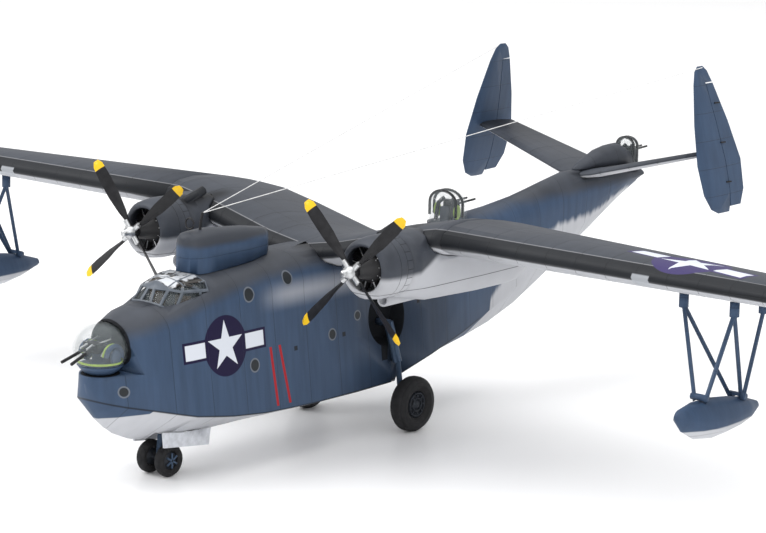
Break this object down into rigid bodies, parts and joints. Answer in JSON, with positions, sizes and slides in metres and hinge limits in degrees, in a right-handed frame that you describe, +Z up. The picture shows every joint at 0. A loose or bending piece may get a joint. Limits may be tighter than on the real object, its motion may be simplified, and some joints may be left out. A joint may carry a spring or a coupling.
{
  "type": "scale model flying boat",
  "caption": "Plastic scale model of a twin-engined gull-winged amphibious flying boat that stands on its wheels, with propellers, wheels and gun turrets that turn.",
  "frame": {"origin": "centre of the model's bounding box, at the shelf that the wheels stand on", "axes": "+X to the model's port (left) side, -Y ahead to the bow guns, +Y aft, +Z up; the overall width is the wing span"},
  "size_m": [0.5, 0.3396, 0.1263],
  "materials": {
    "sea_blue": "satin blue paint on the hull sides, radome, fins and floats, streaked grey on top and white beneath",
    "deck_grey": "satin dark grey paint on the wing, tailplane and nacelle tops, white beneath",
    "belly_white": "satin off-white paint",
    "black": "satin black paint, propeller tips yellow",
    "rubber": "matt black tyre paint over hard plastic",
    "metal": "silver paint",
    "clear": "polished clear plastic with painted frames",
    "cabin_brown": "matt brown paint"
  },
  "bodies": {
    "airframe": {"canopy": "sea_blue", "canopy_glass": "clear", "cowling_left": "deck_grey", "cowling_right": "deck_grey", "engine_left": "metal", "engine_right": "metal", "fin_left": "sea_blue", "fin_right": "sea_blue", "float_left": "sea_blue", "float_right": "sea_blue", "float_struts_left": "sea_blue", "float_struts_right": "sea_blue", "hull": "sea_blue", "main_gear_leg_left": "sea_blue", "main_gear_leg_right": "sea_blue", "nacelle_left": "deck_grey", "nacelle_right": "deck_grey", "nose_gear_door_left": "belly_white", "nose_gear_door_right": "belly_white", "nose_gear_leg": "black", "radome": "sea_blue", "rudder_left": "sea_blue", "rudder_right": "sea_blue", "seat_left": "cabin_brown", "seat_right": "cabin_brown", "tail_fairing": "deck_grey", "tailplane": "deck_grey", "wing_centre_section": "deck_grey", "wing_outer_left": "deck_grey", "wing_outer_right": "deck_grey"},
    "propeller_left": {"propeller_left": "black", "propeller_hub_left": "metal"},
    "propeller_right": {"propeller_right": "black", "propeller_hub_right": "metal"},
    "main_wheel_left": {"main_tyre_left": "rubber", "main_wheel_left": "black"},
    "main_wheel_right": {"main_tyre_right": "rubber", "main_wheel_right": "black"},
    "nose_wheels": {"nose_tyre_left": "rubber", "nose_tyre_right": "rubber", "nose_wheels": "black"},
    "bow_turret": {"bow_turret_base": "sea_blue", "bow_turret_dome": "clear", "bow_turret_guns": "black"},
    "top_turret": {"top_turret_base": "deck_grey", "top_turret_dome": "clear", "top_turret_guns": "black"},
    "tail_turret": {"tail_turret_base": "deck_grey", "tail_turret_dome": "clear", "tail_turret_guns": "black"}
  },
  "joints": [
    {"name": "propeller_left_spin", "type": "hinge", "parent": "airframe", "child": "propeller_left", "pos_m": [0.0524, -0.0839, 0.0739], "axis": [0, 1, 0], "continuous": true},
    {"name": "main_wheel_left_roll", "type": "hinge", "parent": "airframe", "child": "main_wheel_left", "pos_m": [0.0256, -0.0153, 0.0104], "axis": [1, 0, 0], "continuous": true},
    {"name": "propeller_right_spin", "type": "hinge", "parent": "airframe", "child": "propeller_right", "pos_m": [-0.0524, -0.0839, 0.0739], "axis": [0, 1, 0], "continuous": true},
    {"name": "main_wheel_right_roll", "type": "hinge", "parent": "airframe", "child": "main_wheel_right", "pos_m": [-0.0256, -0.0153, 0.0104], "axis": [1, 0, 0], "continuous": true},
    {"name": "nose_wheels_roll", "type": "hinge", "parent": "airframe", "child": "nose_wheels", "pos_m": [0, -0.1243, 0.0059], "axis": [1, 0, 0], "continuous": true},
    {"name": "bow_turret_turn", "type": "hinge", "parent": "airframe", "child": "bow_turret", "pos_m": [0, -0.1537, 0.0496], "axis": [0, 0, 1], "range_deg": [-30, 30]},
    {"name": "top_turret_turn", "type": "hinge", "parent": "airframe", "child": "top_turret", "pos_m": [0, 0.0357, 0.068], "axis": [0, 0, 1], "continuous": true},
    {"name": "tail_turret_turn", "type": "hinge", "parent": "airframe", "child": "tail_turret", "pos_m": [0, 0.1575, 0.0763], "axis": [0, 0, 1], "range_deg": [-40, 40]}
  ]
}
